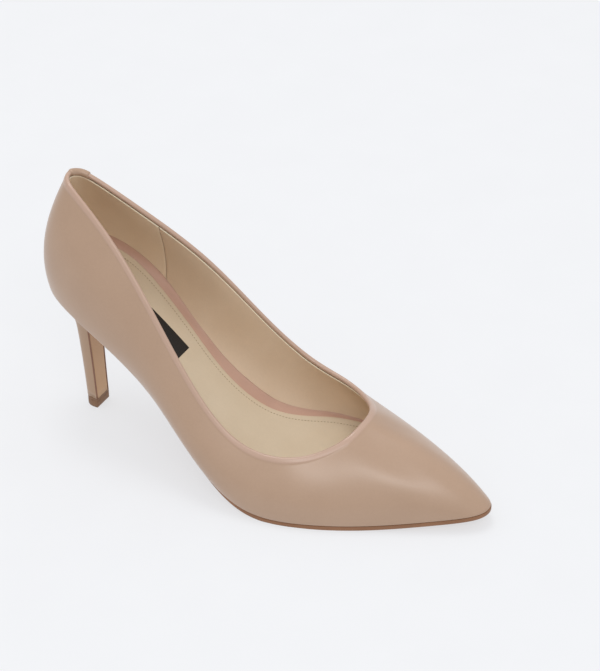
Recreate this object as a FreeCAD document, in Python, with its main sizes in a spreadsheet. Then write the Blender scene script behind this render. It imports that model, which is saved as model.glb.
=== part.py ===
import FreeCAD, Part
import math
import os
import Sketcher

# A right-foot high heel court pump, in millimetres.
# X runs from heel to toe, -Y is the outer side of the foot, +Y the inner side, Z is up.
# The shoe stands on z = 0, on the flat tread of the outsole and on the heel's top piece.

os.makedirs("parts", exist_ok=True)
V = FreeCAD.Vector
doc = FreeCAD.newDocument("pump")

# ---------------------------------------------------------------- driving dimensions
DIMENSIONS = [
    ("centre_x", 122.1, "shift that puts the origin under the middle of the shoe"),
    ("centre_y", -1.3, "the same shift across the shoe"),
    ("leather", 1.0, "upper leather thickness"),
    ("lining", 0.6, "lining leather thickness"),
    ("wall", 2.6, "whole thickness of the upper with its lining"),
    ("glue", 0.05, "gap left between neighbouring layers"),
    ("margin", 12.0, "width of the upper turned in under the insole"),
    ("board", 1.5, "thickness of the insole board and of the shank board"),
    ("sole", 2.4, "outsole thickness in the forepart"),
    ("sole_waist", 1.5, "outsole thickness at the waist"),
    ("sole_start", 44.2, "rear end of the outsole, at the heel breast"),
    ("footbed_layer", 0.7, "thickness of the footbed foam, of the rim and of the sock"),
    ("seat_pad", 5.1, "extra thickness of the footbed foam under the heel of the foot"),
    ("stem_front", 29.3, "front face of the heel stem at the ground"),
    ("tip_width", 10.8, "width of the top piece"),
    ("tip_depth", 7.9, "depth of the top piece"),
    ("tip_height", 5.4, "height of the top piece"),
    ("pin_diameter", 3.0, "pin of the top piece"),
    ("pin_length", 14.0, "length of that pin above the top piece"),
    ("dowel_outer", 4.6, "heel dowel, outside diameter"),
    ("dowel_bore", 3.1, "heel dowel, bore"),
    ("dowel_length", 38.0, "heel dowel length"),
    ("heel_lean", 3.5, "backward lean of the heel stem going up, degrees"),
    ("screw_diameter", 4.0, "heel screw shank"),
    ("screw_head", 7.5, "heel screw head"),
    ("screw_length", 20.0, "heel screw length under its head"),
    ("nail_diameter", 1.6, "heel nail shank"),
    ("nail_head", 3.6, "heel nail head"),
    ("nail_length", 13.0, "heel nail length under its head"),
    ("shank_width", 10.0, "steel shank width"),
    ("rivet_diameter", 2.6, "shank rivet"),
    ("label_toe_end", 77.0, "toe end of the label on the sock"),
    ("label_middle", 0.05, "middle of that label across the shoe"),
    ("label_length", 31.0, "label on the sock, along the foot"),
    ("label_width", 12.5, "label on the sock, across the foot"),
    ("label_thickness", 0.2, "label thickness"),
]
sheet = doc.addObject("Spreadsheet::Sheet", "dims")
for row, (alias, value, note) in enumerate(DIMENSIONS, start=1):
    sheet.set("A%d" % row, alias)
    sheet.set("B%d" % row, str(value))
    sheet.set("C%d" % row, note)
    sheet.setAlias("B%d" % row, alias)
doc.recompute()


def dim(alias):
    return float(sheet.get(alias))


# ---------------------------------------------------------------- the shape of the upper
# Each station is a curved line from the bottom edge up to the topline:
# bottom edge x, y, z; topline x, y, z; how far it bulges out low down and high up.
BACK = (8.5, 0.0, 72.7, 16.9, 1.2, 131.0, 9.5, 6.0)
OUTER_SIDE = [
    (12.0, -13.5, 72.2, 19.4, -4.2, 130.2, 9.8, 6.4),
    (26.0, -22.5, 68.7, 28.0, -8.5, 126.2, 9.5, 5.0),
    (48.0, -27.0, 59.7, 51.0, -14.0, 108.7, 10.0, 5.5),
    (76.0, -29.0, 40.7, 78.0, -22.5, 80.7, 11.0, 5.0),
    (105.0, -37.2, 17.6, 103.5, -29.5, 51.7, 11.0, 4.5),
    (134.5, -43.4, 3.6, 126.5, -32.5, 34.2, 7.8, 3.5),
    (164.0, -38.0, 2.0, 147.0, -30.0, 30.7, 7.0, 2.8),
    (191.0, -25.8, 2.9, 161.0, -21.0, 32.2, 7.0, 3.8),
    (216.0, -12.7, 5.8, 170.2, -10.5, 36.6, 7.0, 5.2),
    (233.5, -2.0, 8.2, 172.9, -1.5, 39.0, 7.2, 5.2),
]
TOE = (238.4, 6.8, 8.9, 173.2, 3.2, 39.4, 8.0, 5.2)
INNER_SIDE = [
    (12.0, 13.5, 72.2, 19.4, 6.4, 129.8, 9.8, 6.6),
    (26.0, 22.5, 68.7, 28.0, 9.0, 126.0, 9.5, 5.5),
    (48.0, 24.0, 59.7, 51.0, 15.5, 110.4, 10.0, 5.0),
    (76.0, 18.5, 40.7, 78.0, 25.5, 86.7, 12.5, 5.0),
    (106.0, 17.5, 17.2, 103.5, 33.0, 58.7, 12.0, 4.5),
    (137.0, 32.5, 3.0, 127.0, 37.0, 39.2, 8.5, 4.0),
    (164.0, 38.0, 2.0, 147.0, 36.0, 33.0, 7.5, 4.0),
    (191.0, 31.5, 2.9, 161.0, 28.5, 32.5, 9.5, 6.5),
    (216.0, 23.0, 5.8, 169.8, 17.0, 36.5, 9.5, 7.0),
    (233.5, 14.8, 8.2, 172.8, 8.0, 39.0, 8.5, 6.0),
]
STATIONS = [BACK] + OUTER_SIDE + [TOE] + INNER_SIDE[::-1]
COUNT = len(STATIONS)
TOE_STATION = 11
PER_STATION = 3
GLUE = dim("glue")
LEATHER = dim("leather")
WALL = dim("wall")


def closed_spline_poles(points):
    """Poles of the closed, evenly spaced cubic spline through the points; it starts at points[0]."""
    poles = list(points)
    count = len(points)
    for _ in range(40):
        poles = [(points[i] * 6 - poles[i - 1] - poles[(i + 1) % count]) * 0.25 for i in range(count)]
    return poles[-1:] + poles[:-1]


def closed_surface(pole_rows):
    """Closed surface round the shoe from four rows of poles, lowest row first."""
    count = len(pole_rows[0])
    grid = [[row[i] for row in pole_rows] for i in range(count)]
    surface = Part.BSplineSurface()
    surface.buildFromPolesMultsKnots(
        grid, [1] * (count + 1), [4, 4], list(range(count + 1)), [0, 1], True, False, 3, 3)
    return surface


def last_surface():
    """The outside of the upper: u counts stations from the back seam, v goes from 0 to 1 upwards."""
    feet = [V(*s[0:3]) for s in STATIONS]
    tops = [V(*s[3:6]) for s in STATIONS]
    middle = [feet[i] * 0.6 + tops[i] * 0.4 for i in range(COUNT)]
    low, high = [], []
    for i, station in enumerate(STATIONS):
        along = middle[(i + 1) % COUNT] - middle[i - 1]
        rise = (tops[i] - feet[i]).normalize()
        out = V(along.y, -along.x, 0).normalize()
        out = (out - rise * out.dot(rise)).normalize()
        step = (tops[i] - feet[i]) / 3
        low.append(feet[i] + step + out * station[6])
        high.append(feet[i] + step * 2 + out * station[7])
    return closed_surface([closed_spline_poles(row) for row in (feet, low, high, tops)])


OUTSIDE = last_surface()
EVEN_STEPS = [i / PER_STATION for i in range(COUNT * PER_STATION)]


def on_wall(u, v, depth):
    """Point of the upper wall, a depth in from its outside."""
    return OUTSIDE.value(u, v) - OUTSIDE.normal(u, v) * (depth * NORMAL_SIGN)


NORMAL_SIGN = 1 if OUTSIDE.normal(5, 0.3).y < 0 else -1


# ---------------------------------------------------------------- the bottom of the shoe
BELOW = -20  # a level well under the shoe, where flat outlines are drawn
BEHIND = -20  # a place well behind the heel
AHEAD = 260  # a place well in front of the toe
BESIDE = 70  # half the width of a strip that reaches right across the shoe


def bottom_line():
    """Side view of the bottom edge as (x, z), from the back of the heel to the toe."""
    points = [OUTSIDE.value(i / 6, 0) for i in range(6 * TOE_STATION + 1)]
    return [(p.x, p.z) for p in points]


BOTTOM = bottom_line()


def bottom_height(x):
    """Height of the bottom edge over the ground at x."""
    if x <= BOTTOM[0][0]:
        return BOTTOM[0][1]
    for (x0, z0), (x1, z1) in zip(BOTTOM, BOTTOM[1:]):
        if x <= x1:
            return z0 + (z1 - z0) * (x - x0) / (x1 - x0)
    return BOTTOM[-1][1]


def ease(x, start, end):
    """0 before start, 1 after end, smooth between."""
    t = min(max((x - start) / (end - start), 0.0), 1.0)
    return t * t * (3 - 2 * t)


def inward(u):
    """Level direction into the shoe from the bottom edge."""
    a = OUTSIDE.value((u - 0.05) % COUNT, 0)
    b = OUTSIDE.value((u + 0.05) % COUNT, 0)
    return V(a.y - b.y, b.x - a.x, 0).normalize()


def outline_point(u, inset):
    """Point on the bottom, an inset in from the bottom edge."""
    edge = OUTSIDE.value(u, 0)
    point = edge + inward(u) * inset
    point.z = bottom_height(point.x)
    return point


def outline_wire(inset_at, toe_back=0.0):
    """Closed level outline; inset_at gives the inset for x and for the side of the foot.

    toe_back draws the toe end back under the sloping toe of the upper.
    """
    points = []
    for u in EVEN_STEPS:
        edge = OUTSIDE.value(u, 0)
        point = edge + inward(u) * inset_at(edge.x, u > TOE_STATION)
        point.x -= toe_back * ease(edge.x, 196, 238)
        points.append(V(point.x, point.y, BELOW))
    curve = Part.BSplineCurve()
    curve.buildFromPolesMultsKnots(
        closed_spline_poles(points), [1] * (len(points) + 1), list(range(len(points) + 1)), True, 3)
    return Part.Wire(curve.toShape())


def margin_at(x):
    """Width of the turned-in upper: full along the sides, narrower round the toe."""
    return dim("margin") - (dim("margin") - 3.2) * ease(x, 180, 236)


# ---------------------------------------------------------------- builders
exported = {}


def finish(name, shape):
    """Put a finished piece into the document and list it for export."""
    piece = doc.addObject("Part::Feature", name)
    piece.Shape = shape
    exported[name] = piece
    return piece


def surface_between(start_row, end_row, bend=None):
    """Surface from one closed row of points to another, curved through two rows between them."""
    if bend is None:
        bend = ([a + (b - a) / 3 for a, b in zip(start_row, end_row)],
                [a + (b - a) * 2 / 3 for a, b in zip(start_row, end_row)])
    rows = list(zip(start_row, bend[0], bend[1], end_row))
    first = [p[0] for p in rows]
    second = [(p[0] * -5 + p[1] * 18 - p[2] * 9 + p[3] * 2) / 6 for p in rows]
    third = [(p[0] * 2 - p[1] * 9 + p[2] * 18 - p[3] * 5) / 6 for p in rows]
    last = [p[3] for p in rows]
    return closed_surface([closed_spline_poles(row) for row in (first, second, third, last)])


def wall_row(v_at, depth):
    return [on_wall(u, v_at(u), depth) for u in EVEN_STEPS]


def wall_surface(low, high, depth):
    """Surface inside the wall, from low(u) up to high(u), a depth in from the outside."""
    def level(k):
        return lambda u: low(u) + (high(u) - low(u)) * k / 3
    rows = [wall_row(level(k), depth) for k in range(4)]
    return surface_between(rows[0], rows[3], (rows[1], rows[2]))


def halves(surfaces):
    """Faces of closed surfaces, each parted at the back seam and at the toe."""
    faces = []
    for surface in surfaces:
        full = surface.bounds()[1]
        for start, end in ((0, full / 2), (full / 2, full)):
            half = surface.copy()
            half.segment(start, end, 0, 1)
            faces.append(half.toShape())
    return faces


def sewn_solid(faces):
    shell = Part.makeShell(faces)
    shell.sewShape()
    solid = Part.Solid(shell)
    if solid.Volume < 0:
        solid.reverse()
    return solid


def wall_ring(low, high, outer_depth, inner_depth):
    """A layer that runs all the way round the shoe."""
    rows = {(v, d): wall_row(v, d) for v in (low, high) for d in (outer_depth, inner_depth)}
    return sewn_solid(halves([
        wall_surface(low, high, outer_depth),
        surface_between(rows[high, outer_depth], rows[high, inner_depth]),
        wall_surface(low, high, inner_depth),
        surface_between(rows[low, inner_depth], rows[low, outer_depth]),
    ]))


def wall_patch(start, end, low, high, outer_depth, inner_depth):
    """A layer that covers the stations from start to end only."""
    skins = []
    for depth in (outer_depth, inner_depth):
        skin = wall_surface(low, high, depth)
        skin.segment(start * PER_STATION, end * PER_STATION, 0, 1)
        skins.append(skin)
    for edge in (low, high):
        skin = surface_between(wall_row(edge, outer_depth), wall_row(edge, inner_depth))
        skin.segment(start * PER_STATION, end * PER_STATION, 0, 1)
        skins.append(skin)
    faces = [skin.toShape() for skin in skins]
    for at in (0, 1):
        sides = [skin.uIso(skin.bounds()[at]).toShape() for skin in skins[:2]]
        faces.append(Part.makeRuledSurface(sides[0], sides[1]))
    return sewn_solid(faces)


def level(value):
    return lambda u: value


def side_strip(name, low, high, start, end):
    """Plate seen from the side: between two heights over the bottom line, right across the shoe."""
    xs = [start] + [x for x, _ in BOTTOM[::3] if start + 2 < x < end - 2] + [end]
    edges = []
    for height in (low, high):
        curve = Part.BSplineCurve()
        curve.interpolate([V(x, -BESIDE, bottom_height(x) + height(x)) for x in xs])
        edges.append(curve.toShape())
    ends = [Part.makeLine(edges[0].valueAt(edge_end(edges[0], k)), edges[1].valueAt(edge_end(edges[1], k)))
            for k in (0, 1)]
    profile = doc.addObject("Part::Feature", name + "_side")
    profile.Shape = Part.Wire([edges[0], ends[1], edges[1], ends[0]])
    return extrusion(name + "_strip", profile, V(0, 1, 0), 2 * BESIDE)


def edge_end(edge, k):
    return edge.LastParameter if k else edge.FirstParameter


def extrusion(name, profile, direction, length):
    prism = doc.addObject("Part::Extrusion", name)
    prism.Base = profile
    prism.DirMode = "Custom"
    prism.Dir = direction
    prism.LengthFwd = length
    prism.Solid = True
    return prism


def plate(name, plan, low, high, start=BEHIND, end=AHEAD):
    """Level outline and side view crossed into one bent plate."""
    outline = doc.addObject("Part::Feature", name + "_plan")
    outline.Shape = plan
    common = doc.addObject("Part::MultiCommon", name + "_plate")
    common.Shapes = [extrusion(name + "_prism", outline, V(0, 0, 1), 160),
                     side_strip(name, low, high, start, end)]
    doc.recompute()
    return common


def origin_plane(body, role):
    return [f for f in body.Origin.OriginFeatures if f.Role == role][0]


def sketch_on(body, role, name, lift=None):
    sketch = body.newObject("Sketcher::SketchObject", name)
    sketch.AttachmentSupport = [(origin_plane(body, role), "")]
    sketch.MapMode = "FlatFace"
    if lift is not None:
        sketch.setExpression("AttachmentOffset.Base.z", lift)
    return sketch


def add_circle(sketch, diameter, x=0.0, y=0.0):
    index = sketch.addGeometry(Part.Circle(V(x, y, 0), V(0, 0, 1), 1), False)
    sketch.addConstraint(Sketcher.Constraint("DistanceX", -1, 1, index, 3, x))
    sketch.addConstraint(Sketcher.Constraint("DistanceY", -1, 1, index, 3, y))
    number = sketch.addConstraint(Sketcher.Constraint("Diameter", index, 2))
    sketch.setExpression("Constraints[%d]" % number, diameter)


def pad(body, sketch, length, backwards=False):
    feature = body.newObject("PartDesign::Pad", sketch.Name + "_pad")
    feature.Profile = sketch
    feature.setExpression("Length", length)
    feature.Reversed = backwards
    sketch.Visibility = False
    body.Tip = feature
    return feature


def headed_pin(name, shank, head, length, head_height):
    """Nail, rivet or screw: a shank hanging down from a flat head that sits on z = 0."""
    body = doc.addObject("PartDesign::Body", name)
    shaft = sketch_on(body, "XY_Plane", name + "_shaft")
    add_circle(shaft, shank)
    pad(body, shaft, length, backwards=True)
    cap = sketch_on(body, "XY_Plane", name + "_cap")
    add_circle(cap, head)
    pad(body, cap, head_height)
    doc.recompute()
    return body


# ---------------------------------------------------------------- upper, closed round the shoe
FOLD_FROM = 0.955
FOLD_TOP = 0.985
FOLD_OUTER = LEATHER + 0.3
FOLD_INNER = LEATHER + 0.95


def upper_leather():
    """Outside wall, edge folded in at the topline, margin turned in under the insole."""
    top, under, fold = level(1.0), level(FOLD_TOP), level(FOLD_FROM)
    corners = [
        wall_row(level(0.0), 0.0),
        wall_row(top, 0.0),
        wall_row(top, FOLD_INNER),
        wall_row(fold, FOLD_INNER),
        wall_row(fold, FOLD_OUTER),
        wall_row(under, FOLD_OUTER),
        wall_row(under, LEATHER),
        wall_row(level(0.0), LEATHER),
    ]

    def margin_row(part, lift):
        points = []
        for u in EVEN_STEPS:
            point = outline_point(u, part * margin_at(OUTSIDE.value(u, 0).x))
            points.append(point + V(0, 0, lift))
        return points
    turned = [margin_row(1.0, LEATHER), margin_row(1.0, 0.0)]
    inside_foot = corners[-1]
    top_rows = [margin_row(part, LEATHER) for part in (0.42, 0.71)]
    low_rows = [margin_row(part, 0.0) for part in (0.67, 0.33)]
    surfaces = [
        wall_surface(level(0.0), top, 0.0),
        surface_between(corners[1], corners[2]),
        wall_surface(top, fold, FOLD_INNER),
        surface_between(corners[3], corners[4]),
        wall_surface(fold, under, FOLD_OUTER),
        surface_between(corners[5], corners[6]),
        wall_surface(under, level(0.0), LEATHER),
        surface_between(inside_foot, turned[0], top_rows),
        surface_between(turned[0], turned[1]),
        surface_between(turned[1], corners[0], low_rows),
    ]
    return sewn_solid(halves(surfaces))


finish("upper_leather", upper_leather())
finish("topline_tape", wall_ring(level(0.958), level(0.981), LEATHER + GLUE, LEATHER + 0.25))
finish("topline_stitching", wall_ring(level(0.970), level(0.976), FOLD_INNER + GLUE, FOLD_INNER + 0.4))

# ---------------------------------------------------------------- upper, pieces between the layers
LINING_OUT = FOLD_INNER + GLUE
LINING_IN = LINING_OUT + dim("lining")
SEAM_OUTER = 3.2
SEAM_INNER = COUNT - 3.2
finish("vamp_lining", wall_patch(
    SEAM_OUTER + 0.01, SEAM_INNER - 0.01, level(0.045), level(0.965), LINING_OUT, LINING_IN))
finish("quarter_lining", wall_patch(
    SEAM_INNER, COUNT + SEAM_OUTER, level(0.045), level(0.965), LINING_OUT, LINING_IN))
finish("interlining", wall_patch(
    3.4, COUNT - 3.4, level(0.05), level(0.94), LEATHER + GLUE, LEATHER + 0.35))
finish("toe_puff", wall_patch(
    8.6, 13.4, level(0.05), level(0.72), LEATHER + 0.4, LEATHER + 0.8))
finish("heel_counter", wall_patch(
    COUNT - 3.3, COUNT + 3.3, level(0.05), level(0.66), LEATHER + GLUE, LEATHER + 0.75))
finish("back_seam_tape", wall_patch(
    COUNT - 0.35, COUNT + 0.35, level(0.69), level(0.945), LEATHER + GLUE, LEATHER + 0.35))


def tab_edge(u):
    """Lower edge of the back tab: level forwards, swept down towards the back seam."""
    forward = (COUNT - u) % COUNT
    if forward > COUNT / 2:
        forward = 0
    return 0.80 + 0.10 * ease(forward, 0.2, 1.1) + 0.05 * ease(forward, 1.1, 1.7)


finish("back_tab", wall_patch(
    COUNT - 1.7, COUNT - 0.02, tab_edge, level(0.994), -LEATHER + 0.15, -GLUE))

# ---------------------------------------------------------------- bottom plates
BOARD = dim("board")
LAYER = dim("footbed_layer")


def board_rise(x):
    """How far the shank board lifts the insole board: full at the heel, nothing in the forepart."""
    return (BOARD + GLUE) * (1 - ease(x, 100, 136))


def insole_top(x):
    return LEATHER + GLUE + board_rise(x) + BOARD


def seat_pad(x):
    """Extra foam that cushions the heel seat."""
    return dim("seat_pad") * (1 - ease(x, 20, 90))


def footbed_top(x):
    return insole_top(x) + GLUE + LAYER + seat_pad(x)


def sock_top(x):
    return footbed_top(x) + GLUE + LAYER


def inside_wall(clearance):
    """Inset that keeps a board clear of the lining."""
    return lambda x, inner_side: WALL + clearance


def sock_inset(extra=0.0):
    """The sock lies a little closer to the wall along the waist."""
    def inset(x, inner_side):
        return WALL + 0.5 + extra - 0.9 * ease(x, 45, 75) * (1 - ease(x, 90, 125))
    return inset


def rim_inset(x, inner_side):
    """The rim shows beyond the sock along the waist, where the wall bulges away from it."""
    return WALL + 0.5 - 1.8 * ease(x, 40, 85) * (1 - ease(x, 105, 150))


def over(height, lift=0.0):
    return lambda x: height(x) + lift


def filler_inset(x, inner_side):
    return margin_at(x) + 0.4


def sole_inset(x, inner_side):
    """Nearly flush with the upper in the forepart, set in under the waist and more under the heel seat."""
    return 4.0 - 3.0 * ease(x, 45, 75) - 0.8 * ease(x, 110, 150)


def sole_underside(x):
    return -dim("sole_waist") - (dim("sole") - dim("sole_waist")) * ease(x, 80, 130)


def cut(name, base, *tools):
    """Base with every tool cut out of it."""
    for number, tool in enumerate(tools):
        result = doc.addObject("Part::Cut", "%s_cut_%d" % (name, number))
        result.Base = base
        result.Tool = tool
        base = result
    doc.recompute()
    return base


def ribbon(name, inset, width, low, high):
    """Closed strip that follows the edge of the footbed."""
    whole = plate(name, outline_wire(inset, 6.0), low, high)
    inner = outline_wire(lambda x, side: inset(x, side) + width(x, side), 6.0)
    return cut(name, whole, plate(name + "_hole", inner, over(low, -1), over(high, 1)))


def slot_wire(start, end, width):
    """Level slot shape with round ends, along the middle of the shoe."""
    r = width / 2
    corners = [V(start + r, -r, BELOW), V(end - r, -r, BELOW), V(end - r, r, BELOW), V(start + r, r, BELOW)]
    return Part.Wire([
        Part.makeLine(corners[0], corners[1]),
        Part.Arc(corners[1], V(end, 0, BELOW), corners[2]).toShape(),
        Part.makeLine(corners[2], corners[3]),
        Part.Arc(corners[3], V(start, 0, BELOW), corners[0]).toShape(),
    ])


def label_wire():
    """Level rectangle along the foot."""
    toe_end, heel_end = dim("label_toe_end"), dim("label_toe_end") - dim("label_length")
    outer = dim("label_middle") - dim("label_width") / 2
    inner = dim("label_middle") + dim("label_width") / 2
    corners = [V(toe_end, outer, BELOW), V(toe_end, inner, BELOW), V(heel_end, inner, BELOW), V(heel_end, outer, BELOW)]
    return Part.makePolygon(corners + corners[:1])


def frame_at(x, y, height, tilt=None):
    """Placement on the bottom line, square to it unless a tilt is given."""
    slope = (bottom_height(x + 1) - bottom_height(x - 1)) / 2
    angle = -math.degrees(math.atan(slope)) if tilt is None else tilt
    base = V(x, y, bottom_height(x) + height)
    return FreeCAD.Placement(base, FreeCAD.Rotation(V(0, 1, 0), angle))


def copies(name, master, places):
    """Identical fasteners as separate solids of one piece."""
    shapes = []
    for place in places:
        shape = master.Shape.copy()
        shape.Placement = place
        shapes.append(shape)
    group = doc.addObject("Part::Feature", name + "_set")
    group.Shape = Part.Compound(shapes)
    return group


nail = headed_pin("nail", "dims.nail_diameter", "dims.nail_head", "dims.nail_length", "dims.nail_diameter / 3")
rivet = headed_pin("rivet", "dims.rivet_diameter", "dims.rivet_diameter * 1.6", "dims.board + 0.75", "0.4 mm")
screw = headed_pin("screw", "dims.screw_diameter", "dims.screw_head", "dims.screw_length", "1.4 mm")
nails = copies("heel_nails", nail, [
    frame_at(x, y, insole_top(x) - 0.6, 10) for x, y in ((22.5, -7), (22.5, 7), (33, -9), (33, 9))])
rivets = copies("shank_rivets", rivet, [
    frame_at(x, 0, LEATHER + BOARD - 0.45) for x in (50, 96)])
heel_screw = copies("heel_screw", screw, [frame_at(25, 0, insole_top(25) - 1.9, 8)])

shank = plate("steel_shank", slot_wire(42, 104, dim("shank_width")), level(0.1), level(LEATHER - GLUE))
shank_board = plate("shank_board", outline_wire(inside_wall(0.4)),
                    level(LEATHER + GLUE), lambda x: LEATHER + max(board_rise(x), 0.12), end=128)
insole = plate("insole_board", outline_wire(inside_wall(0.3), 5.0), over(insole_top, -BOARD), insole_top)
filler = plate("bottom_filler", outline_wire(filler_inset), level(GLUE), level(LEATHER - GLUE), start=112)
foam = plate("footbed_foam", outline_wire(sock_inset(3.2), 6.0), over(insole_top, GLUE), footbed_top)
sock = plate("sock_lining", outline_wire(sock_inset(), 6.0), over(footbed_top, GLUE), sock_top)
label = plate("sock_label", label_wire(), over(sock_top, GLUE),
              over(sock_top, GLUE + dim("label_thickness")))
rim = ribbon("footbed_rim", rim_inset, lambda x, side: sock_inset(3.0)(x, side) - rim_inset(x, side),
             over(insole_top, GLUE), footbed_top)
thread = ribbon("sock_stitching", sock_inset(2.6), lambda x, side: 0.5,
                over(sock_top, GLUE), over(sock_top, 0.3))
sole = plate("outsole", outline_wire(sole_inset), sole_underside, level(-GLUE), start=dim("sole_start"))
ground = doc.addObject("Part::Box", "ground")
ground.Length, ground.Width, ground.Height = AHEAD - BEHIND, 2 * BESIDE, -BELOW
ground.Placement.Base = V(BEHIND, -BESIDE, BELOW)

finish("shank_rivets", rivets.Shape)
finish("heel_screw", heel_screw.Shape)
finish("heel_nails", nails.Shape)
finish("steel_shank", cut("steel_shank", shank, rivets).Shape)
finish("shank_board", cut("shank_board", shank_board, rivets, heel_screw, nails).Shape)
finish("insole_board", cut("insole_board", insole, heel_screw, nails).Shape)
finish("bottom_filler", filler.Shape)
finish("footbed_foam", foam.Shape)
finish("footbed_rim", rim.Shape)
finish("sock_lining", sock.Shape)
finish("sock_stitching", thread.Shape)
finish("sock_label", label.Shape)
finish("outsole", cut("outsole", sole, ground).Shape)

# ---------------------------------------------------------------- heel
# Control sections of the heel, from the top piece up: height, front face x, half width, depth.
HEEL_SECTIONS = [
    (5.45, 29.3, 5.4, 7.9),
    (18.0, 28.7, 5.5, 8.1),
    (32.0, 28.0, 5.9, 8.6),
    (43.0, 27.4, 6.3, 9.0),
    (50.0, 27.2, 6.7, 9.8),
    (54.5, 29.5, 9.0, 14.0),
    (58.0, 36.5, 14.0, 22.5),
    (62.5, 46.5, 19.5, 33.0),
    (70.0, 50.0, 24.4, 40.6),
    (80.0, 51.0, 25.6, 42.6),
]
# Control points of one section, from the outer front corner round the back:
# fraction of the depth behind the front, fraction of the half width across.
BACK_CURVE = [(0.0, -1.0), (0.42, -1.0), (0.90, -0.82), (1.05, 0.0), (0.90, 0.82), (0.42, 1.0), (0.0, 1.0)]
COVER = 0.8


def heel_columns(inset, forward=0.0):
    """Upright rows of control points; inset thins the heel all round its back and sides."""
    columns = []
    for back, across in BACK_CURVE:
        columns.append([V(front + forward - back * (depth - inset + forward), across * (half - inset), z)
                        for z, front, half, depth in HEEL_SECTIONS])
    return columns


def spline_knots(count, degree):
    inner = count - degree - 1
    return [degree + 1] + [1] * inner + [degree + 1], list(range(inner + 2))


def net_surface(columns):
    """Surface over upright columns: smooth across when there are many, flat when there are two."""
    degree = 3 if len(columns) > 3 else 1
    across_mults, across_knots = spline_knots(len(columns), degree)
    up_mults, up_knots = spline_knots(len(columns[0]), 3)
    surface = Part.BSplineSurface()
    surface.buildFromPolesMultsKnots(
        columns, across_mults, up_mults, across_knots, up_knots, False, False, degree, 3)
    return surface


def end_surface(first, second, row):
    """Flat strip joining the same end of two sets of columns."""
    mults, knots = spline_knots(len(first), 3 if len(first) > 3 else 1)
    surface = Part.BSplineSurface()
    surface.buildFromPolesMultsKnots(
        [[a[row], b[row]] for a, b in zip(first, second)],
        mults, [2, 2], knots, [0, 1], False, False, 3 if len(first) > 3 else 1, 1)
    return surface


def upright_solid(first, second):
    """Solid between two sets of columns that face each other."""
    surfaces = [
        net_surface(first),
        net_surface(second),
        net_surface([first[0], second[0]]),
        net_surface([first[-1], second[-1]]),
        end_surface(first, second, 0),
        end_surface(first, second, -1),
    ]
    return sewn_solid([surface.toShape() for surface in surfaces])


def heel_wrap():
    """Cover round the back and sides of the heel."""
    return upright_solid(heel_columns(0.0), heel_columns(COVER))


def heel_body():
    """Core inside the covers."""
    shrink = COVER + GLUE
    columns = heel_columns(shrink, -shrink)
    sides = [net_surface(columns), net_surface([columns[0], columns[-1]])]
    faces = [surface.toShape() for surface in sides]
    for end in (0, -1):
        edges = [surface.vIso(surface.bounds()[2 if end == 0 else 3]).toShape() for surface in sides]
        faces.append(Part.Face(Part.Wire(edges)))
    return sewn_solid(faces)


def breast_face():
    """Thin strip that covers the flat front of the heel."""
    def column(back, side):
        return [V(front - back, side * (half - COVER - GLUE), z) for z, front, half, depth in HEEL_SECTIONS]
    return upright_solid([column(0, -1), column(0, 1)], [column(COVER, -1), column(COVER, 1)])


def lean(z):
    """Placement on the middle of the stem at height z, leaning with it."""
    angle = -dim("heel_lean")
    x = dim("stem_front") - dim("tip_depth") / 2 + math.tan(math.radians(angle)) * z
    return FreeCAD.Placement(V(x, 0, z), FreeCAD.Rotation(V(0, 1, 0), angle))


def top_piece_body():
    """Straight front, straight sides and a round back."""
    body = doc.addObject("PartDesign::Body", "top_piece_body")
    sketch = sketch_on(body, "XY_Plane", "top_piece_plan")
    front, half = dim("stem_front"), dim("tip_width") / 2
    start = front - (dim("tip_depth") - half)
    lines = [
        sketch.addGeometry(Part.LineSegment(V(start, -half, 0), V(front, -half, 0)), False),
        sketch.addGeometry(Part.LineSegment(V(front, -half, 0), V(front, half, 0)), False),
        sketch.addGeometry(Part.LineSegment(V(front, half, 0), V(start, half, 0)), False),
    ]
    circle = Part.Circle(V(start, 0, 0), V(0, 0, 1), half)
    arc = sketch.addGeometry(Part.ArcOfCircle(circle, math.pi / 2, 3 * math.pi / 2), False)
    for first, second in ((lines[0], lines[1]), (lines[1], lines[2])):
        sketch.addConstraint(Sketcher.Constraint("Coincident", first, 2, second, 1))
    sketch.addConstraint(Sketcher.Constraint("Tangent", lines[2], 2, arc, 1))
    sketch.addConstraint(Sketcher.Constraint("Tangent", arc, 2, lines[0], 1))
    sketch.addConstraint(Sketcher.Constraint("Horizontal", lines[0]))
    sketch.addConstraint(Sketcher.Constraint("Horizontal", lines[2]))
    sketch.addConstraint(Sketcher.Constraint("Symmetric", lines[1], 1, lines[1], 2, -1))
    rules = [
        (Sketcher.Constraint("DistanceX", -1, 1, lines[1], 1, front), "dims.stem_front"),
        (Sketcher.Constraint("Distance", lines[1], 2 * half), "dims.tip_width"),
        (Sketcher.Constraint("Distance", lines[0], front - start), "dims.tip_depth - dims.tip_width / 2"),
    ]
    for constraint, expression in rules:
        number = sketch.addConstraint(constraint)
        sketch.setExpression("Constraints[%d]" % number, expression)
    pad(body, sketch, "dims.tip_height")
    doc.recompute()
    return body


def round_bar(name, diameter, length, bore=None):
    body = doc.addObject("PartDesign::Body", name)
    sketch = sketch_on(body, "XY_Plane", name + "_ring")
    add_circle(sketch, diameter)
    if bore:
        add_circle(sketch, bore)
    pad(body, sketch, length)
    doc.recompute()
    return body


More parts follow.
